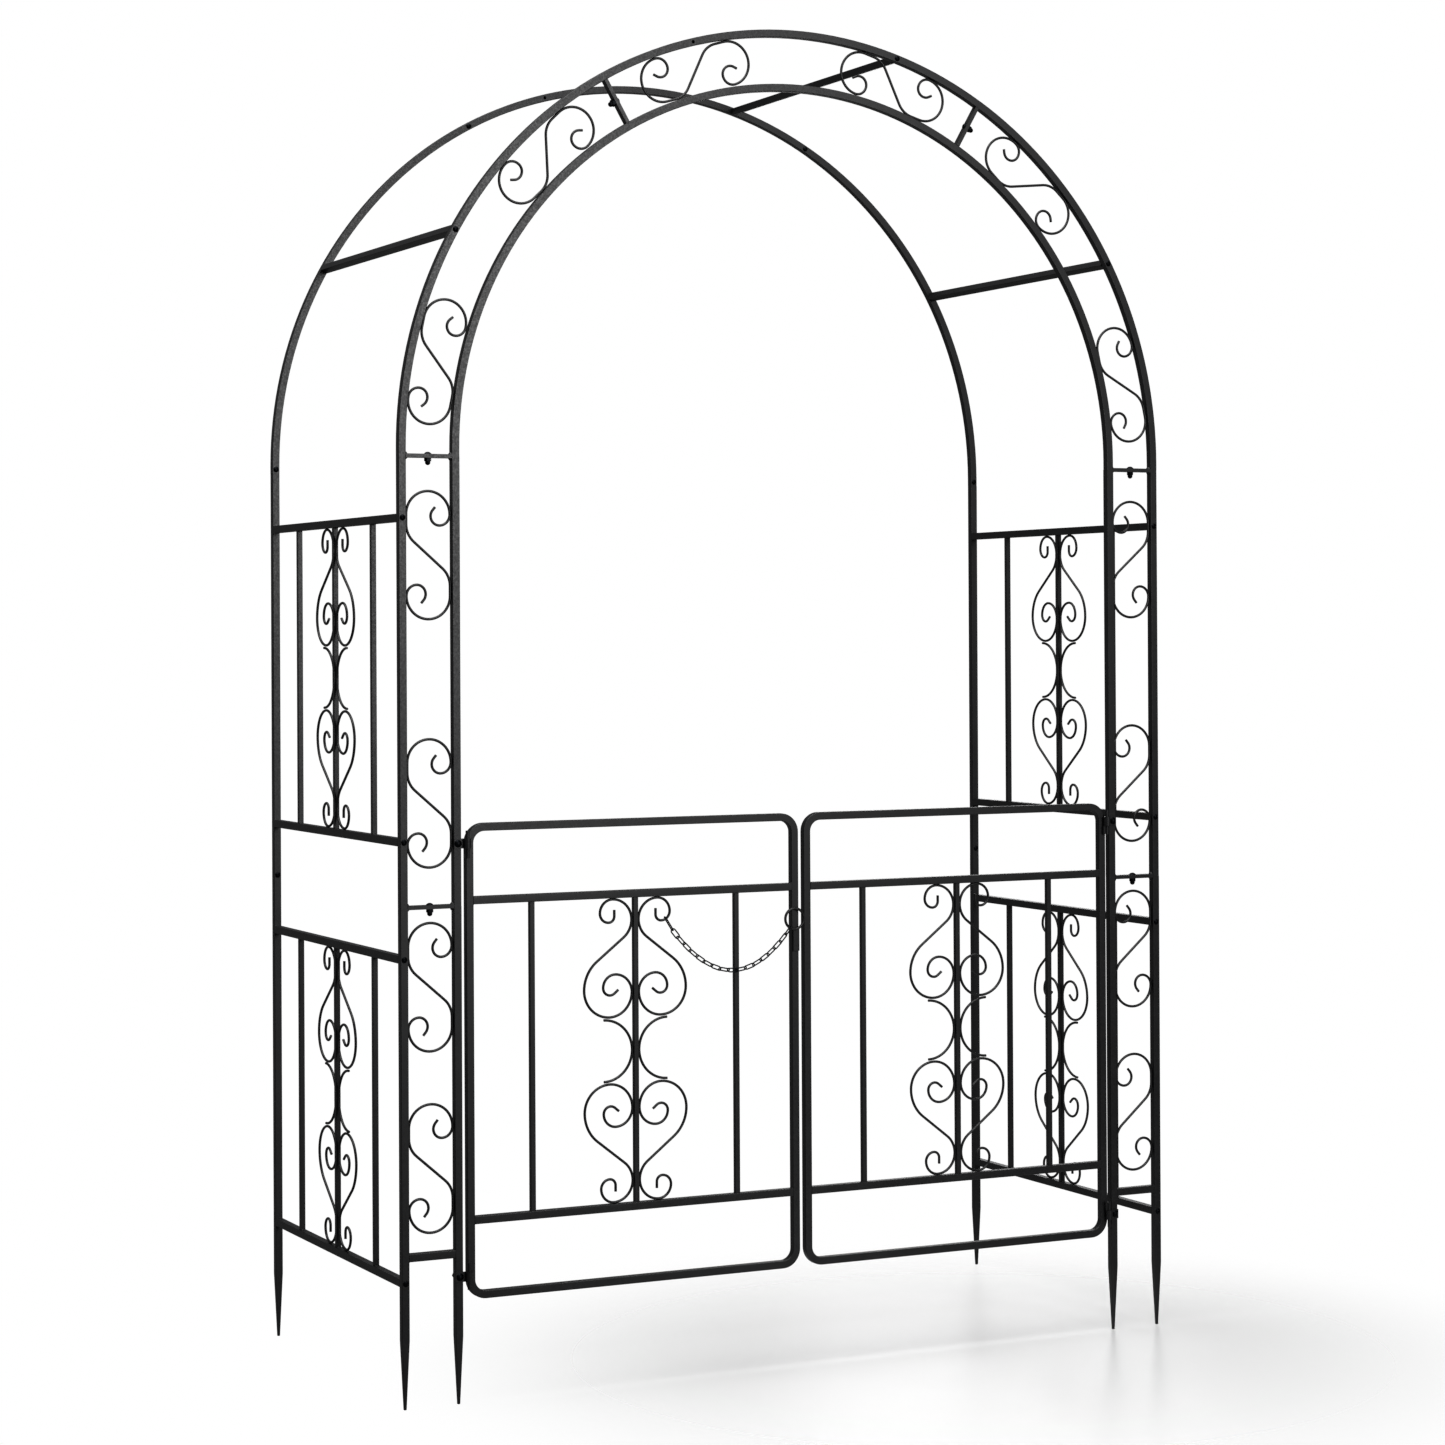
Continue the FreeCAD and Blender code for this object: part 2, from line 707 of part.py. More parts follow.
GATE_BARS = (f"{LEAF_X} - bar_pitch", LEAF_X, f"{LEAF_X} + bar_pitch")
for name, side in SIDES.items():
    keep(f"{name}_gate_frame", leaf_frame(side))
    edges = (f"{side} * ({STILE_OUT} - {HALF})", f"{side} * ({STILE_IN} + {HALF})")
    rails = [tube("x", *edges, (FRONT, z)) for z in (UPPER_RAIL, LOWER_RAIL)]
    keep(f"{name}_gate_rails", group(rails))
    low, high = f"{LOWER_RAIL} + {HALF}", f"{UPPER_RAIL} - {HALF}"
    bars = [thin_tube(low, high, (f"{side} * ({x})", FRONT)) for x in GATE_BARS]
    keep(f"{name}_gate_bars", group(bars))
    keep(f"{name}_gate_hinge_pins", group([hinge_pin(side, *hinge) for hinge in HINGES.items()]))

# ---------------------------------------------------------------- scroll wires


class Path:
    """A wire's centre line in the XZ plane: straight runs and tangent arcs, one after another."""

    def __init__(self, x, z, heading):
        self.spot = Vector(x, 0, z)
        self.heading = heading
        self.edges = []

    def ahead(self, turn=0.0):
        angle = math.radians(self.heading + turn)
        return Vector(math.cos(angle), 0, math.sin(angle))

    def run(self, length):
        end = self.spot + self.ahead() * length
        self.edges.append(Part.makeLine(self.spot, end))
        self.spot = end
        return self

    def turn(self, radius, degrees):
        """Arc to the left for a positive number of degrees, to the right for a negative one."""
        way = math.copysign(1, degrees)
        centre = self.spot + self.ahead(90 * way) * radius
        places = []
        for part in (0.5, 1.0):
            angle = math.radians(self.heading - 90 * way + degrees * part)
            places.append(centre + Vector(math.cos(angle), 0, math.sin(angle)) * radius)
        self.edges.append(Part.Arc(self.spot, *places).toShape())
        self.spot = places[1]
        self.heading += degrees
        return self


def rod(edges, diameter):
    """Round wire along a chain of edges."""
    path = Part.Wire(edges)
    start = edges[0].valueAt(edges[0].FirstParameter)
    direction = edges[0].tangentAt(edges[0].FirstParameter)
    ring = Part.Wire(Part.makeCircle(diameter / 2, start, direction))
    return path.makePipeShell([ring], True, False)


wire = number("wire_diameter")
touch = wire / 2 + number("weld_gap")


# The hooked ends of an S scroll: two bend radii and a straight tip, as shares of its bow radius.
HOOK_BEND = 0.48
TIP_BEND = 0.4
TIP_RUN = 0.17
TIP_TURN = 130


def s_scroll(radius):
    """S of wire about its own centre: two large bows joined by a leaning straight, with hooked ends."""
    lean = number("scroll_lean")
    reach = number("scroll_reach")
    straight = radius / math.tan(math.radians(lean))
    rise = straight * math.cos(math.radians(lean)) + radius * math.sin(math.radians(lean))
    halves = []
    for start in (90 + lean, 270 + lean):
        path = Path(0, 0, start)
        path.run(straight).turn(radius, -lean).run(reach - rise).turn(radius, -180)
        path.turn(radius * HOOK_BEND, -90).turn(radius * TIP_BEND, -TIP_TURN).run(radius * TIP_RUN)
        halves.append(path.edges)
    first = [turned_round(edge) for edge in reversed(halves[0])]
    return rod(first + halves[1], wire)


def point_on(edge, share):
    first, last = edge.ParameterRange
    return edge.valueAt(first + (last - first) * share)


def turned_round(edge):
    """The same edge run the other way."""
    places = [point_on(edge, share) for share in (1.0, 0.5, 0.0)]
    if isinstance(edge.Curve, Part.Line):
        return Part.makeLine(places[0], places[2])
    return Part.Arc(*places).toShape()


def handed(hand):
    """Turn that leaves an S scroll as it is for -1 and shows its mirror image for 1."""
    return Rotation(Vector(0, 0, 1), 0 if hand < 0 else 180)


def ladder_scrolls(heights, side):
    """S scrolls between the two upright tubes of one ladder."""
    radius = (number("ladder_spacing") - number("tube_side")) / 2 - touch
    shapes = []
    for height in heights:
        shape = s_scroll(radius)
        spot = Vector(side * number(LADDER_MIDDLE), number(FRONT), height)
        shape.Placement = Placement(spot, handed(side))
        shapes.append(shape)
    return shapes


def ladder_group(label, heights, side):
    shapes = ladder_scrolls([number(height) for height in heights], side)
    keep(label, computed(label, Part.makeCompound(shapes)))


def arch_scrolls(side, names, hand):
    """S scrolls between the outer and inner arch tubes, each touching both curves.

    The outer tube is met by a bow, whose centre is scroll_reach along the arch, and the inner
    tube by the bend beside the leaning straight. Both contacts fix the bow radius and how far
    the scroll's middle is from the arch's centre.
    """
    outer_limit = number(OUTER) - number(HALF) - touch
    inner_limit = number(INNER) + number(HALF) + touch
    reach = number("scroll_reach")
    square_term = 1 / math.sin(math.radians(number("scroll_lean"))) ** 2
    linear_term = -2 * (outer_limit + inner_limit)
    constant_term = outer_limit**2 - inner_limit**2 - reach**2
    root = math.sqrt(linear_term**2 - 4 * square_term * constant_term)
    radius = (-linear_term - root) / (2 * square_term)
    middle = math.sqrt((outer_limit - radius) ** 2 - reach**2)
    shapes = []
    for name in names:
        angle = number(name)
        x = side * middle * math.cos(math.radians(angle))
        z = number("arch_centre_height") + middle * math.sin(math.radians(angle))
        shape = s_scroll(radius)
        tilt = Rotation(Vector(0, 1, 0), -side * angle)
        shape.Placement = Placement(Vector(x, number(FRONT), z), tilt.multiply(handed(hand)))
        shapes.append(shape)
    return shapes


POST_SCROLLS = (f"{UPPER_JOINT} - post_scroll_drop", "lower_joint_height + post_scroll_rise")
LEG_SCROLLS = ("lower_joint_height - leg_scroll_drop", "foot_rail_height + leg_scroll_rise")
for name, side in SIDES.items():
    ladder_group(f"{name}_post_scrolls", POST_SCROLLS, side)
    ladder_group(f"{name}_leg_scrolls", LEG_SCROLLS, side)
    label = f"{name}_arch_scrolls"
    # The scrolls of both side sections lean the same way, and those of the top are a mirrored pair.
    shapes = arch_scrolls(side, ("arch_scroll_low", "arch_scroll_middle"), -1)
    keep(label, computed(label, Part.makeCompound(shapes)))
shapes = [shape for side in SIDES.values() for shape in arch_scrolls(side, ("arch_scroll_high",), side)]
keep("top_arch_scrolls", computed("top_arch_scrolls", Part.makeCompound(shapes)))


# A bow scroll from its inner tip to its outer tip, in the order it is bent: radii in quarter
# turns unless another angle is named. It is scaled to the room that its panel leaves.
INNER_TIP = 8.5
INNER_BEND = 12
INNER_TURN = 130
CURL_RADII = (21, 29)
BOW_RADII = (39, 44)
FLANK_RADIUS = 58
FOOT_RADIUS = 36
FLANK_LEAN = 52
SMALL_CURL_RADII = (33, 22, 15, 10)
OUTER_TIP = 10


def bow_scroll(scale):
    """Large bow with an inner curl, leaning back to the bar and ending in a small curl on the rail."""
    lean = math.radians(FLANK_LEAN)
    aside = sum(BOW_RADII) - (FLANK_RADIUS + FOOT_RADIUS) * (1 - math.cos(lean))
    path = Path(0, 0, INNER_TURN - 90)
    path.run(INNER_TIP * scale).turn(INNER_BEND * scale, -INNER_TURN)
    for radius in CURL_RADII + BOW_RADII:
        path.turn(radius * scale, -90)
    path.turn(FLANK_RADIUS * scale, -FLANK_LEAN).run(aside / math.sin(lean) * scale)
    path.turn(FOOT_RADIUS * scale, FLANK_LEAN)
    for radius in SMALL_CURL_RADII:
        path.turn(radius * scale, 90)
    path.run(OUTER_TIP * scale)
    return path.edges


bar_face = number("bar_side") / 2 + touch
collar = number("collar_radius")


def placed_bow(clear_height):
    """Centre line of a panel's lower right bow scroll, from the middle of its centre bar."""
    half = clear_height / 2 - touch
    room = half - collar - wire - number("weld_gap")
    full_size = Part.makeCompound(bow_scroll(1.0)).BoundBox
    edges = bow_scroll(room / full_size.ZLength)
    box = Part.makeCompound(edges).BoundBox
    for edge in edges:
        edge.translate(Vector(bar_face - box.XMin, 0, -half - box.ZMin))
    return edges


def panel_scrolls(clear_height):
    """Six wires about a centre bar: a collar and two bow scrolls on each side of it."""
    bow = rod(placed_bow(clear_height), wire)
    arc = Part.Arc(
        Vector(bar_face + collar, 0, collar),
        Vector(bar_face, 0, 0),
        Vector(bar_face + collar, 0, -collar),
    ).toShape()
    quarter = [bow, bow.mirror(Vector(), Vector(0, 0, 1)), rod([arc], wire)]
    return quarter + [shape.mirror(Vector(), Vector(1, 0, 0)) for shape in quarter]


def scroll_panel(label, heights, x, y, turn):
    low, high = (number(h) for h in heights)
    shape = Part.makeCompound(panel_scrolls(high - low - number("tube_side")))
    item = keep(label, computed(label, shape))
    item.Placement = Placement(Vector(number(x), number(y), (low + high) / 2), turn)


for name, side in SIDES.items():
    for level, heights in PANELS.items():
        turn = Rotation(Vector(0, 0, 1), 90)
        scroll_panel(f"{name}_{level}_panel_scrolls", heights, f"{side} * {OUTER}", "0", turn)
    rails = (LOWER_RAIL, UPPER_RAIL)
    scroll_panel(f"{name}_gate_scrolls", rails, f"{side} * {LEAF_X}", FRONT, Rotation())

# ---------------------------------------------------------------- catch ring and chain

RING_X = "(leaf_centre_gap / 2 - ring_side_gap - ring_radius - wire_diameter / 2)"
RING_Y = f"({FRONT} - {HALF} - ring_stand_off - wire_diameter / 2)"
RING_Z = f"({UPPER_RAIL} - ring_drop)"
# How much of the ring's wire the lug takes in from below, and how far behind the ring's middle
# its front face stands.
LUG_BITE = 0.75
LUG_SETBACK = "wire_diameter / 8"


def catch_ring():
    """Ring on a flat lug that is welded to the closing stile and bites into the ring's wire."""
    ring = doc.addObject("Part::Torus", "Ring")
    ring.Placement = Placement(Vector(), TURNS["y"])
    bind(ring, Radius1="ring_radius", Radius2="wire_diameter / 2")
    place(ring, RING_X, RING_Y, RING_Z)
    top = f"{RING_Z} - ring_radius - wire_diameter / 2 + {LUG_BITE} * wire_diameter"
    lug = block(
        (f"-{STILE_IN} - ring_lug_width / 2", f"{RING_Y} + {LUG_SETBACK}", f"{top} - ring_lug_length"),
        (f"-{STILE_IN} + ring_lug_width / 2", f"{FRONT} - {HALF}", top),
    )
    return join(ring, lug)


def link(length, width):
    """Closed oval of wire in the XZ plane, long in X. Length and width are inner sizes."""
    gauge = number("link_wire")
    radius = (width + gauge) / 2
    path = Path(-(length - width) / 2, -radius, 0)
    path.run(length - width).turn(radius, 180).run(length - width).turn(radius, 180)
    return rod(path.edges, gauge)


def aligned(direction, normal):
    """Rotation that lays a link along a direction, facing as nearly along a normal as it can."""
    return Rotation(direction, normal, Vector(), "XYZ")


BACK_TO_FRONT = Vector(0, -1, 0)
# How far round its bend of the small curl the hook hangs.
HOOK_SHARE = 0.64
ROUTE_STEPS = 400
# Neighbouring links are turned this far to either side of the way the chain faces, in degrees.
LINK_ROLL = 45


def hook_seat():
    """Where the hook hangs on the gate's scroll, and the way out from the middle of that curl."""
    low, high = number(LOWER_RAIL), number(UPPER_RAIL)
    *_, curl, _last_bend, _tip = placed_bow(high - low - number("tube_side"))
    spot, centre = point_on(curl, HOOK_SHARE), curl.Curve.Center
    outwards = Vector(spot.x - centre.x, 0, centre.z - spot.z).normalize()
    return Vector(spot.x - number(LEAF_X), number(FRONT), (low + high) / 2 - spot.z), outwards


def chain_route(start, finish):
    """Points of the hanging chain, and how far along it each one is."""
    places = []
    for step in range(ROUTE_STEPS + 1):
        part = step / ROUTE_STEPS
        level = start + (finish - start) * part
        level.y = start.y + (finish.y - start.y) * math.sin(part * math.pi / 2)
        level.z -= 4 * number("chain_sag") * part * (1 - part)
        places.append(level)
    lengths = [0.0]
    for one, other in zip(places, places[1:]):
        lengths.append(lengths[-1] + one.distanceToPoint(other))
    return places, lengths


def chain():
    """The end hook over the scroll wire, and links that hang from it to the ring."""
    seat = wire / 2 + number("seat_play")
    hook_length = number("hook_length")
    scroll_point, hook_way = hook_seat()
    start = scroll_point + hook_way * (hook_length - seat)
    hook = link(hook_length, 2 * seat)
    hook_normal = hook_way.cross(BACK_TO_FRONT)
    hook.Placement = Placement(start - hook_way * (hook_length / 2), aligned(hook_way, hook_normal))

    ring = Vector(number(RING_X), number(RING_Y), number(RING_Z))
    seat_angle = math.radians(number("chain_ring_angle"))
    ring_way = Vector(-math.cos(seat_angle), 0, -math.sin(seat_angle))
    finish = ring + ring_way * (number("ring_radius") - seat)
    places, lengths = chain_route(start, finish)
    inner = number("link_inner_length")
    # An odd number of links turns both end links well away from their neighbours.
    count = 2 * math.ceil((lengths[-1] / (inner - number("link_play")) - 1) / 2) + 1
    joints = []
    for joint in range(count + 1):
        reach = lengths[-1] * joint / count
        joints.append(places[min(range(len(places)), key=lambda i: abs(lengths[i] - reach))])

    facing = Rotation(Vector(0, 0, 1), -number("chain_facing")).multVec(BACK_TO_FRONT)
    shapes = []
    for index, (one, other) in enumerate(zip(joints, joints[1:])):
        way = (other - one).normalize()
        upright = (facing - way * facing.dot(way)).normalize()
        roll = LINK_ROLL if index % 2 else -LINK_ROLL
        normal = Rotation(way, roll).multVec(upright)
        if index == 0:
            normal = BACK_TO_FRONT
        if index == count - 1:
            normal = ring_way.cross(BACK_TO_FRONT)
        shape = link(inner, number("link_inner_width"))
        shape.Placement = Placement((one + other) / 2, aligned(way, normal))
        shapes.append(shape)
    print(f"chain: {count} links, {lengths[-1]:.1f} mm")
    return hook, shapes


keep("catch_ring", catch_ring())
hook, links = chain()
keep("chain_hook", computed("chain_hook", hook))
keep("gate_chain", computed("gate_chain", Part.makeCompound(links)))

# ---------------------------------------------------------------- build, check and write


def fail_if_broken():
    for item in doc.Objects:
        if {"Invalid", "Error"} & set(item.State):
            raise SystemExit(f"{item.Name} ({item.Label}) failed: {item.State}")
    for label, item in NODES.items():
        if item.Shape.isNull() or not item.Shape.isValid() or not item.Shape.Solids:
            raise SystemExit(f"{label} has no valid solid")


doc.recompute()
fail_if_broken()
os.makedirs("parts", exist_ok=True)
for label, item in NODES.items():
    item.Shape.exportStep(f"parts/{label}.step")
print(f"{len(NODES)} sub-parts written")
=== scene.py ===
import json
import math

import bmesh
import bpy
from mathutils import Matrix, Vector, noise

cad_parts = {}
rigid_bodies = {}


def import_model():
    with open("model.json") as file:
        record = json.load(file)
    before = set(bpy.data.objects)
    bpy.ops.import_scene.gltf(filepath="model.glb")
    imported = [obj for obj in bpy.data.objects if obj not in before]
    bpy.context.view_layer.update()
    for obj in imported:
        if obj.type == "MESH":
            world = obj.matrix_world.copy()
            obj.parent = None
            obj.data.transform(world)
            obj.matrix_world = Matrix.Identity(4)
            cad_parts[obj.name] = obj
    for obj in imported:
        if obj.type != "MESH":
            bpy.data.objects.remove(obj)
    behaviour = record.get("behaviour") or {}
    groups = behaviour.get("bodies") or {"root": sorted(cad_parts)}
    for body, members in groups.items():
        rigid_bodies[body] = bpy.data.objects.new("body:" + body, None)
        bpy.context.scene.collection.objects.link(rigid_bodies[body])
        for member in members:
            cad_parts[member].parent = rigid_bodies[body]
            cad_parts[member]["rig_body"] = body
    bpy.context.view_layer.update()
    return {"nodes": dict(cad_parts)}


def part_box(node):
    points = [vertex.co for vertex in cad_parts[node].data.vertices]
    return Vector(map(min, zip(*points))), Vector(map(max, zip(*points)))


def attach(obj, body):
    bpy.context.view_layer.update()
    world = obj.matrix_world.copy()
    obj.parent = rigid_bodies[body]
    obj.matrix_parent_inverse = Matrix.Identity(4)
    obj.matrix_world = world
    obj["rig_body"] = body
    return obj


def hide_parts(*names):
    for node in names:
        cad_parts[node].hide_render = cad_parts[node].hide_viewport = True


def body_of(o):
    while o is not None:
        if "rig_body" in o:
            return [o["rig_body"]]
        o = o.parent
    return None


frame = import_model()

# Garden arch with a double gate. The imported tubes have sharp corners, so each one is shown by a
# copy with the rounded corners of real drawn tube. Weld beads are added where the steel is welded.

MM = 0.001
# The two sides of the arch, and which way each lies from its middle along x.
SIDES = {"left": -1, "right": 1}


def size_of(node):
    low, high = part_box(node)
    return high - low


def middle_of(node):
    low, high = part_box(node)
    return (low + high) / 2


# Sides of the two square sections, and the pitch of the upright bars, which the leaves and the side
# panels share. Each leaf has three bars in one row.
TUBE = size_of("ladder_foot_rails").z
BAR = size_of("left_gate_bars").y
BAR_PITCH = (size_of("left_gate_bars").x - BAR) / 2


def add_piece(name, shape):
    """Puts a finished bmesh in the scene under a name."""
    mesh = bpy.data.meshes.new(name)
    shape.to_mesh(mesh)
    shape.free()
    piece = bpy.data.objects.new(name, mesh)
    bpy.context.scene.collection.objects.link(piece)
    return piece


# ---------------------------------------------------------------- finishes


def linear(colour):
    """Linear RGBA of an sRGB hex colour."""
    channels = [int(colour[i : i + 2], 16) / 255 for i in (0, 2, 4)]
    return (*[c / 12.92 if c <= 0.04045 else ((c + 0.055) / 1.055) ** 2.4 for c in channels], 1.0)


def add_node(tree, kind, values=None, links=None, **settings):
    """Adds a node with its settings, its sockets' values and what is linked into them."""
    node = tree.nodes.new(kind)
    for name, value in settings.items():
        setattr(node, name, value)
    for socket, value in (values or {}).items():
        node.inputs[socket].default_value = value
    for socket, source in (links or {}).items():
        tree.links.new(source, node.inputs[socket])
    return node


def blank(name):
    material = bpy.data.materials.new(name)
    material.use_nodes = True
    material.node_tree.nodes.clear()
    return material, material.node_tree


def lumps(size, detail=2.0):
    """Values of a noise whose lumps are about one size across, in metres."""
    return {"Scale": 1 / size, "Detail": detail, "Roughness": 0.55}


def between(low, high):
    """Values that spread the usual reach of a noise, 0.3 to 0.7, from low to high."""
    return {"From Min": 0.3, "From Max": 0.7, "To Min": low, "To Max": high}


# How far the gloss of each finish strays below and above its middle roughness.
POWDER_STRAY = (0.06, 0.08)
PLATE_STRAY = (0.08, 0.1)
# How strongly the peel and the finer grain in it are lit, and the grain as a share of the peel.
PEEL_STRENGTH = 0.35
GRAIN_STRENGTH = 0.25
GRAIN_SHARE = 0.4
# Patches of duller tone on plated steel, and how strongly and deeply it is marked.
PLATE_PATCH = 6 * MM
MARK_STRENGTH = 0.2
MARK_DEPTH = 0.02 * MM


def coat(name, dark, light, roughness, peel, depth, patch):
    """Sprayed and baked coat: a little colour drift, uneven gloss, and an orange-peel surface."""
    material, tree = blank(name)
    place = {"Vector": add_node(tree, "ShaderNodeTexCoord").outputs["Object"]}
    drift = add_node(tree, "ShaderNodeTexNoise", lumps(patch), place).outputs["Fac"]
    speckle = add_node(tree, "ShaderNodeTexNoise", lumps(peel), place).outputs["Fac"]
    grain_lumps = lumps(peel * GRAIN_SHARE, detail=4.0)
    grain = add_node(tree, "ShaderNodeTexNoise", grain_lumps, place).outputs["Fac"]
    tone = add_node(tree, "ShaderNodeMapRange", between(0.0, 1.0), {"Value": drift})
    colour = add_node(
        tree,
        "ShaderNodeMix",
        {6: linear(dark), 7: linear(light)},
        {0: tone.outputs[0]},
        data_type="RGBA",
    )
    below, above = POWDER_STRAY
    gloss_reach = between(roughness - below, roughness + above)
    gloss = add_node(tree, "ShaderNodeMapRange", gloss_reach, {"Value": speckle})
    peeled = add_node(
        tree,
        "ShaderNodeBump",
        {"Strength": PEEL_STRENGTH, "Distance": depth},
        {"Height": speckle},
    )
    bump = add_node(
        tree,
        "ShaderNodeBump",
        {"Strength": GRAIN_STRENGTH, "Distance": depth * GRAIN_SHARE},
        {"Height": grain, "Normal": peeled.outputs["Normal"]},
    )
    shader = add_node(
        tree,
        "ShaderNodeBsdfPrincipled",
        {"IOR": 1.5, "Metallic": 0.0},
        {
            "Base Color": colour.outputs[2],
            "Roughness": gloss.outputs[0],
            "Normal": bump.outputs["Normal"],
        },
    )
    add_node(tree, "ShaderNodeOutputMaterial", links={"Surface": shader.outputs[0]})
    return material


def plated(name, dark, light, roughness, scratch):
    """Plated steel: bright, with fine turning marks and a duller tone in patches."""
    material, tree = blank(name)
    place = {"Vector": add_node(tree, "ShaderNodeTexCoord").outputs["Object"]}
    patches = add_node(tree, "ShaderNodeTexNoise", lumps(PLATE_PATCH), place).outputs["Fac"]
    mark_lumps = lumps(scratch, detail=5.0)
    marks = add_node(tree, "ShaderNodeTexNoise", mark_lumps, place).outputs["Fac"]
    tone = add_node(tree, "ShaderNodeMapRange", between(0.0, 1.0), {"Value": patches})
    colour = add_node(
        tree,
        "ShaderNodeMix",
        {6: linear(dark), 7: linear(light)},
        {0: tone.outputs[0]},
        data_type="RGBA",
    )
    below, above = PLATE_STRAY
    gloss_reach = between(roughness - below, roughness + above)
    gloss = add_node(tree, "ShaderNodeMapRange", gloss_reach, {"Value": marks})
    bump = add_node(
        tree,
        "ShaderNodeBump",
        {"Strength": MARK_STRENGTH, "Distance": MARK_DEPTH},
        {"Height": marks},
    )
    shader = add_node(
        tree,
        "ShaderNodeBsdfPrincipled",
        {"Metallic": 1.0},
        {
            "Base Color": colour.outputs[2],
            "Roughness": gloss.outputs[0],
            "Normal": bump.outputs["Normal"],
        },
    )
    add_node(tree, "ShaderNodeOutputMaterial", links={"Surface": shader.outputs[0]})
    return material


# Polyester powder baked on square tube. Satin, so flat faces pick up broad soft reflections. Its
# real orange peel is under a millimetre across and is drawn at 2.4 mm so that it shows.
powder_on_tube = coat(
    "satin_black_powder_coat_on_tube",
    "0b0b0c",
    "141517",
    roughness=0.42,
    peel=2.4 * MM,
    depth=0.05 * MM,
    patch=45 * MM,
)
# The same powder on round wire. It draws thin over the curve, so it is darker and tighter.
powder_on_wire = coat(
    "satin_black_powder_coat_on_wire",
    "080809",
    "101112",
    roughness=0.4,
    peel=1.8 * MM,
    depth=0.04 * MM,
    patch=30 * MM,
)
# Powder over a weld, rougher because the bead below is rippled.
powder_on_weld = coat(
    "satin_black_powder_coat_on_weld",
    "09090a",
    "121314",
    roughness=0.5,
    peel=1.6 * MM,
    depth=0.16 * MM,
    patch=12 * MM,
)
# Black oxide on rolled screws, bolts and nuts: glossier than the powder, with a little steel
# showing.
black_oxide = plated("black_oxide_steel", "101112", "1e2023", roughness=0.42, scratch=0.7 * MM)
# Blackened welded chain: the wire is tumbled, so its rounds are slightly burnished.
blackened_chain = plated(
    "blackened_chain_steel", "121314", "26282b", roughness=0.36, scratch=0.8 * MM
)


def finish_with(piece, material):
    piece.data.materials.clear()
    piece.data.materials.append(material)


# ---------------------------------------------------------------- rounded tubes

# Outside corners of the drawn tube and of the thinner bar, and the small break on a sawn end that
# shows as a joint line.
TUBE_CORNER = 1.0 * MM
BAR_CORNER = 0.7 * MM
SAWN_EDGE = 0.35 * MM
# Faces that meet at less than this belong to a bend or to a drilled hole's wall.
CORNER_ANGLE = math.radians(60)
# A facet of a drilled hole's wall is smaller than the first area. The wall seen on a tube's end is
# smaller than the second, and a tube's side is larger.
HOLE_FACET = 10 * MM**2
END_WALL = 70 * MM**2
# An edge across a tube's end is as long as the tube is wide, to within this.
LENGTH_SLACK = 0.3 * MM
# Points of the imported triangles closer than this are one, and faces flatter than this are one.
MERGE = 0.01 * MM
FLAT = math.radians(0.5)
SHARP = math.radians(35)


def is_corner(edge):
    """True for a square outside corner that isn't the rim of a drilled hole."""
    if not edge.is_manifold or not edge.is_convex:
        return False
    smaller = min(face.calc_area() for face in edge.link_faces)
    return edge.calc_face_angle() > CORNER_ANGLE and smaller > HOLE_FACET


def is_sawn(edge, side):
    """True for a corner that runs across the end of a tube."""
    smaller = min(face.calc_area() for face in edge.link_faces)
    return abs(edge.calc_length() - side) < LENGTH_SLACK and smaller < END_WALL


def rounded_tube(node, side, corner):
    """Copy of a packed tube with rounded corners, in place of its node."""
    shape = bmesh.new()
    shape.from_mesh(frame["nodes"][node].data)
    bmesh.ops.remove_doubles(shape, verts=shape.verts, dist=MERGE)
    bmesh.ops.dissolve_limit(shape, angle_limit=FLAT, verts=shape.verts, edges=shape.edges)
    for sawn, width, segments in ((False, corner, 3), (True, SAWN_EDGE, 1)):
        edges = [e for e in shape.edges if is_corner(e) and is_sawn(e, side) == sawn]
        if edges:
            bmesh.ops.bevel(
                shape,
                geom=edges,
                offset=width,
                affect="EDGES",
                segments=segments,
                profile=0.5,
                material=-1,
                clamp_overlap=True,
            )
    for face in shape.faces:
        face.smooth = True
    piece = add_piece(f"{node}_rounded", shape)
    piece.data.set_sharp_from_angle(angle=SHARP)
    piece.modifiers.new("face_normals", "WEIGHTED_NORMAL").keep_sharp = True
    finish_with(piece, powder_on_tube)
    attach(piece, body_of(frame["nodes"][node])[0])
    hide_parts(node)


square_nodes = [f"{side}_{level}_panel_frame" for side in SIDES for level in ("upper", "lower")]
square_nodes += [f"{side}_gate_{part}" for side in SIDES for part in ("frame", "rails")]
square_nodes += [f"{name}_cross_tube" for name in ("left", "right", "top")] + ["ladder_foot_rails"]
for side in SIDES:
    square_nodes += [f"back_{side}_{part}" for part in ("leg", "post")]
    square_nodes += [
        f"front_{side}_{row}_{part}" for row in ("outer", "inner") for part in ("leg", "post")
    ]
for row in ("front_outer", "front_inner", "back"):
    square_nodes += [f"{row}_arch_{part}" for part in ("left", "top", "right")]
for node in square_nodes:
    rounded_tube(node, TUBE, TUBE_CORNER)
for side in SIDES:
    rounded_tube(f"{side}_gate_bars", BAR, BAR_CORNER)

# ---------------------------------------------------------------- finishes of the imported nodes

FASTENERS = ("joint_bolts", "panel_screws", "cross_tube_screws", "back_joint_screws", "hinge_bolts")
CHAIN = ("gate_chain", "chain_hook")
for name, node in frame["nodes"].items():
    if name in FASTENERS:
        finish_with(node, black_oxide)
    elif name in CHAIN:
        finish_with(node, blackened_chain)
    elif "scrolls" in name or name == "catch_ring":
        finish_with(node, powder_on_wire)
    else:
        finish_with(node, powder_on_tube)

# ---------------------------------------------------------------- weld beads

X, Y, Z = (1, 0, 0), (0, 1, 0), (0, 0, 1)
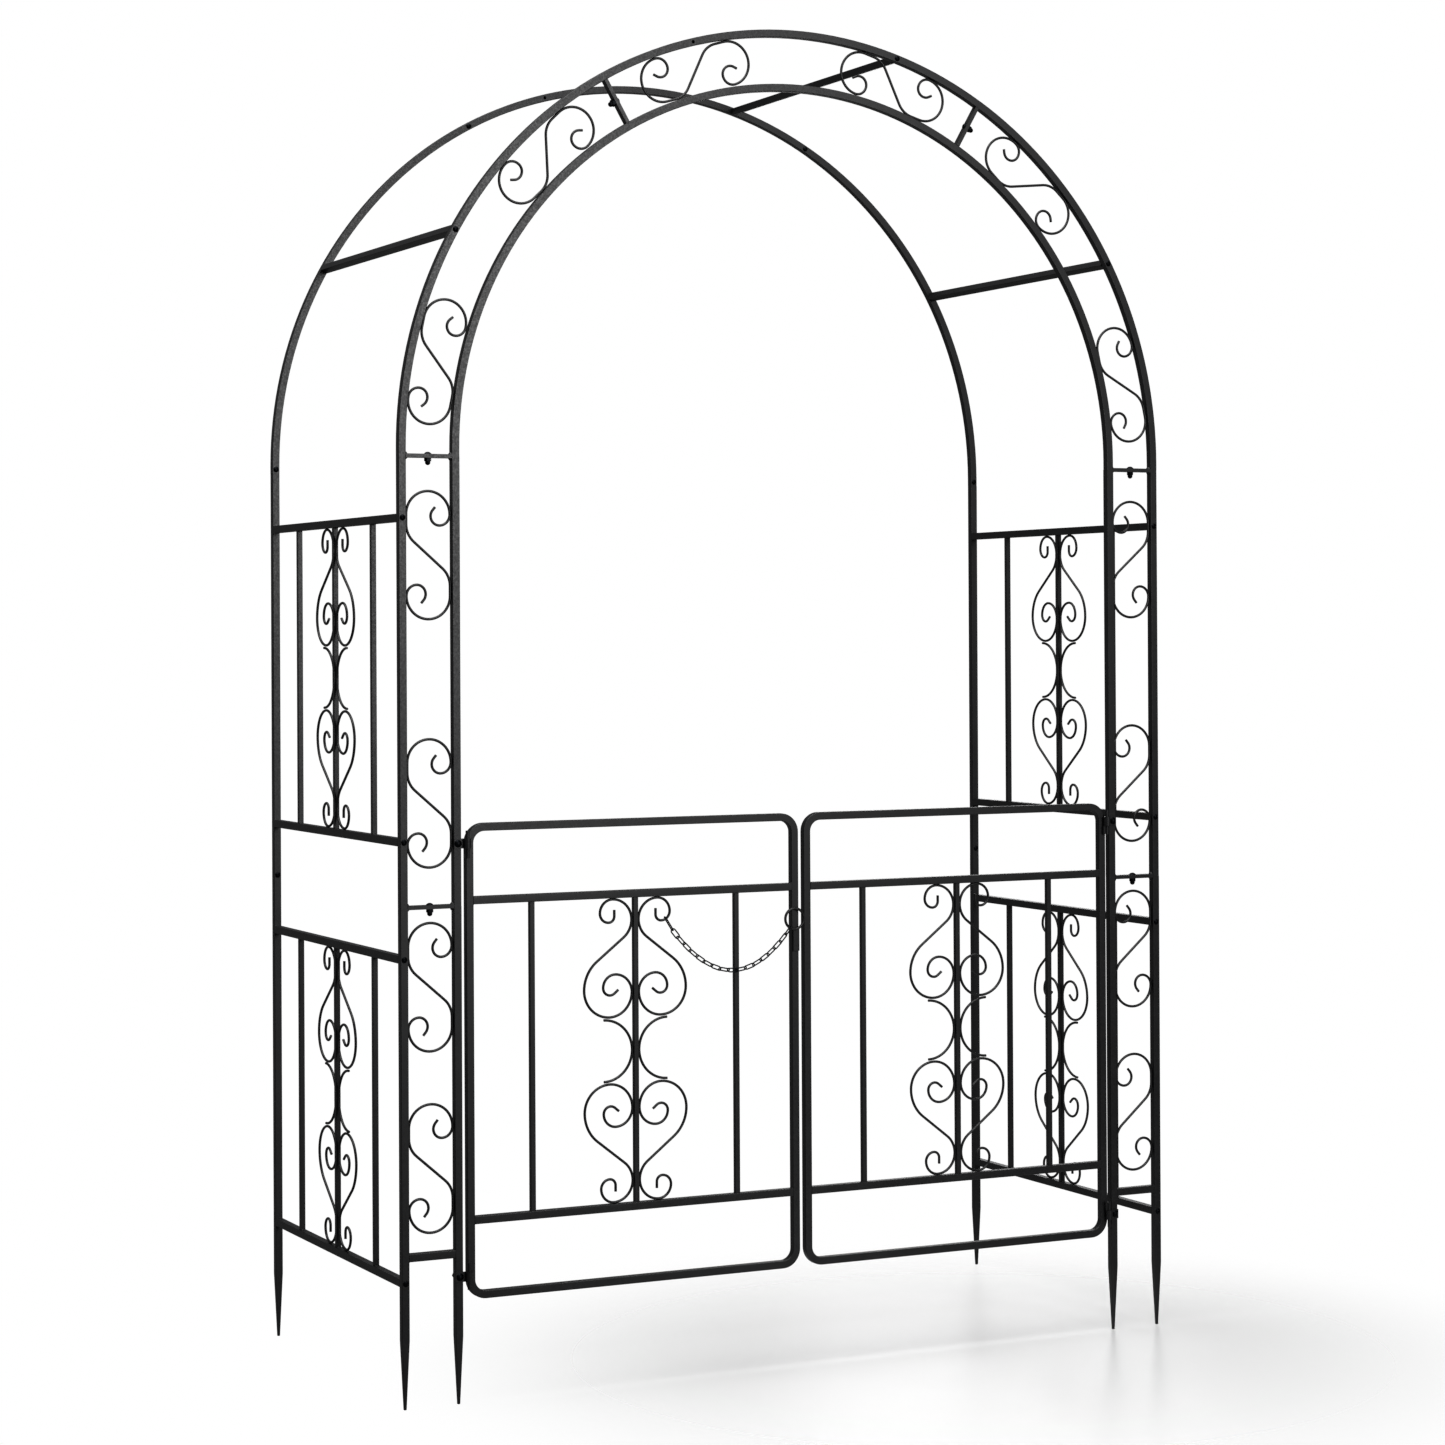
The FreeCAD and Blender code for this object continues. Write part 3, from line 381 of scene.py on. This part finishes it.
# Pitch of a bead's ripples, and how far they stray as a share of the distance from its middle.
RIPPLE_PITCH = 1.6 * MM
RIPPLE_SHARE = 0.16
# Length and height of each kind of bead, and its breadth where that isn't the height.
PLATE_BEAD = (14 * MM, 9 * MM, 11.4 * MM)
FOOT_BEAD = (11 * MM, 3.2 * MM)
STILE_BEAD = (11 * MM, 3.0 * MM)
BAR_BEAD = (7 * MM, 2.6 * MM)


def bead(shape, centre, along, out, length, height, across=None):
    """Rippled mound of weld about a point, long in one direction and standing out in another."""
    side = Vector(along).cross(Vector(out))
    turn = Matrix((Vector(along), side, Vector(out))).transposed().to_4x4()
    size = Matrix.Diagonal((length / 2, (across or height) / 2, height / 2, 1.0))
    place = Matrix.Translation(centre) @ turn @ size
    made = bmesh.ops.create_icosphere(shape, subdivisions=2, radius=1.0, matrix=place)
    for vert in made["verts"]:
        ripple = noise.noise(vert.co / RIPPLE_PITCH)
        vert.co += (vert.co - Vector(centre)) * RIPPLE_SHARE * ripple


def bead_piece(name, body, beads):
    shape = bmesh.new()
    for one in beads:
        bead(shape, *one)
    for face in shape.faces:
        face.smooth = True
    bmesh.ops.recalc_face_normals(shape, faces=shape.faces)
    piece = add_piece(name, shape)
    finish_with(piece, powder_on_weld)
    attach(piece, body)


front_y = middle_of("front_left_outer_post").y


def ladder_beads(side):
    """Joint plates and foot rail, where they meet the two upright tubes of a ladder."""
    outer = middle_of(f"front_{side}_outer_post").x
    inner = middle_of(f"front_{side}_inner_post").x
    half = SIDES[side] * TUBE / 2
    faces = (outer - half, inner + half)
    lower_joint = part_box("front_left_outer_post")[0].z
    upper_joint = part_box("front_outer_arch_left")[0].z
    foot = middle_of("ladder_foot_rails").z
    beads = []
    for height in (lower_joint, upper_joint):
        for x in faces:
            beads.append((Vector((x, front_y, height)), Z, X, *PLATE_BEAD))
    for x in faces:
        for edge in (-TUBE / 2, TUBE / 2):
            beads.append((Vector((x, front_y, foot + edge)), Y, Z, *FOOT_BEAD))
    return beads


def panel_beads(side):
    """Upright bars of the side panels, at the rails above and below them."""
    beads = []
    for level in ("upper", "lower"):
        low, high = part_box(f"{side}_{level}_panel_frame")
        x = (low.x + high.x) / 2
        for y in (-BAR_PITCH, 0, BAR_PITCH):
            for z in (low.z + TUBE, high.z - TUBE):
                for edge in (-BAR / 2, BAR / 2):
                    beads.append((Vector((x, y + edge, z)), X, Y, *BAR_BEAD))
    return beads


def gate_beads(side):
    """Rails of a leaf at its stiles, and the leaf's upright bars at the rails."""
    low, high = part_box(f"{side}_gate_rails")
    middle = (low.x + high.x) / 2
    beads = []
    for z in (low.z + TUBE / 2, high.z - TUBE / 2):
        for x in (low.x, high.x):
            for edge in (-TUBE / 2, TUBE / 2):
                beads.append((Vector((x, front_y, z + edge)), Y, Z, *STILE_BEAD))
    for x in (middle - BAR_PITCH, middle, middle + BAR_PITCH):
        for z in (low.z + TUBE, high.z - TUBE):
            for edge in (-BAR / 2, BAR / 2):
                beads.append((Vector((x + edge, front_y, z)), Y, X, *BAR_BEAD))
    return beads


for side in SIDES:
    bead_piece(f"{side}_ladder_weld_beads", "arch_frame", ladder_beads(side))
    bead_piece(f"{side}_panel_weld_beads", "arch_frame", panel_beads(side))
    bead_piece(f"{side}_gate_weld_beads", f"{side}_gate", gate_beads(side))

# ---------------------------------------------------------------- floor, light and camera

# Half the side of the floor, in metres.
FLOOR_REACH = 9.0
# Middle of the soft painted shade that the object stands in, where the grey floor is kept against
# the white backdrop, and how far from it the floor starts to fade and is gone.
PAINTED_SHADE_CENTRE = (0.3, -0.35, 0.0)
FADE_START = 0.1
FADE_END = 1.0
# How bright the white backdrop is as a light, beside 1 as it is seen.
BACKDROP_LIGHT = 0.22


def add_floor():
    """Plain pale floor that fades out to the background away from the object; the grey left is a
    painted shade.
    """
    shape = bmesh.new()
    bmesh.ops.create_grid(shape, x_segments=1, y_segments=1, size=FLOOR_REACH)
    floor = add_piece("floor", shape)
    material, tree = blank("studio_floor_painted_shade")
    place = add_node(tree, "ShaderNodeTexCoord").outputs["Object"]
    shifted = add_node(
        tree,
        "ShaderNodeVectorMath",
        {1: PAINTED_SHADE_CENTRE},
        {0: place},
        operation="SUBTRACT",
    )
    distance = add_node(
        tree,
        "ShaderNodeVectorMath",
        links={0: shifted.outputs["Vector"]},
        operation="LENGTH",
    )
    # Mask of the painted shade: the grey floor shows near its middle and is clear beyond.
    fade = add_node(
        tree,
        "ShaderNodeMapRange",
        {"From Min": FADE_START, "From Max": FADE_END, "To Min": 0.0, "To Max": 1.0},
        {"Value": distance.outputs["Value"]},
        interpolation_type="SMOOTHSTEP",
    )
    # The floor's grey sets the tone of the painted shade under the object.
    paint = add_node(
        tree,
        "ShaderNodeBsdfPrincipled",
        {"Base Color": linear("d4d4d4"), "Roughness": 0.32, "IOR": 1.35},
    )
    clear = add_node(tree, "ShaderNodeBsdfTransparent")
    mixed = add_node(
        tree,
        "ShaderNodeMixShader",
        links={0: fade.outputs[0], 1: paint.outputs[0], 2: clear.outputs[0]},
    )
    add_node(tree, "ShaderNodeOutputMaterial", links={"Surface": mixed.outputs[0]})
    finish_with(floor, material)


def add_world():
    """White backdrop. The object is lit by a dimmer one, so that its unlit faces stay dark."""
    world = bpy.data.worlds.new("white_studio")
    bpy.context.scene.world = world
    world.use_nodes = True
    tree = world.node_tree
    tree.nodes.clear()
    white = linear("ffffff")
    seen = add_node(tree, "ShaderNodeBackground", {"Color": white, "Strength": 1.0})
    cast = add_node(tree, "ShaderNodeBackground", {"Color": white, "Strength": BACKDROP_LIGHT})
    path = add_node(tree, "ShaderNodeLightPath")
    mixed = add_node(
        tree,
        "ShaderNodeMixShader",
        links={0: path.outputs["Is Camera Ray"], 1: cast.outputs[0], 2: seen.outputs[0]},
    )
    add_node(tree, "ShaderNodeOutputWorld", links={"Surface": mixed.outputs[0]})


def add_light(name, place, aim, size, power):
    data = bpy.data.lights.new(name, "AREA")
    data.shape = "RECTANGLE"
    data.size, data.size_y = size
    data.energy = power
    light = bpy.data.objects.new(name, data)
    bpy.context.scene.collection.objects.link(light)
    light.location = place
    light.rotation_euler = (Vector(aim) - Vector(place)).to_track_quat("-Z", "Y").to_euler()


def add_camera():
    """Camera a little left of the gate, at chest height, looking in across the opening."""
    data = bpy.data.cameras.new("camera")
    data.sensor_width = 36.0
    data.lens = 82.68
    data.shift_x, data.shift_y = -0.0121, -0.0751
    camera = bpy.data.objects.new("camera", data)
    bpy.context.scene.collection.objects.link(camera)
    yaw, pitch, roll = (math.radians(angle) for angle in (26.277, -0.358, -0.295))
    camera.matrix_world = (
        Matrix.Translation((-2.4353, -5.0225, 1.1673))
        @ Matrix.Rotation(-yaw, 4, "Z")
        @ Matrix.Rotation(math.pi / 2 - pitch, 4, "X")
        @ Matrix.Rotation(roll, 4, "Z")
    )
    bpy.context.scene.camera = camera


add_floor()
add_world()
add_light("front_softbox", (1.3, -5.6, 2.3), (-0.6, -0.3, 1.6), (1.5, 2.2), 170)
add_light("overhead_softbox", (-0.9, -0.6, 4.6), (-0.3, 0, 0), (4.2, 3.4), 260)
add_light("back_strip", (2.6, 3.6, 2.4), (0, 0, 1.2), (1.2, 2.6), 25)
add_camera()
view = bpy.context.scene.view_settings
view.view_transform = "Standard"
# A gamma below 1 darkens the middle tones, so that the black coat stays deep.
view.gamma = 0.8
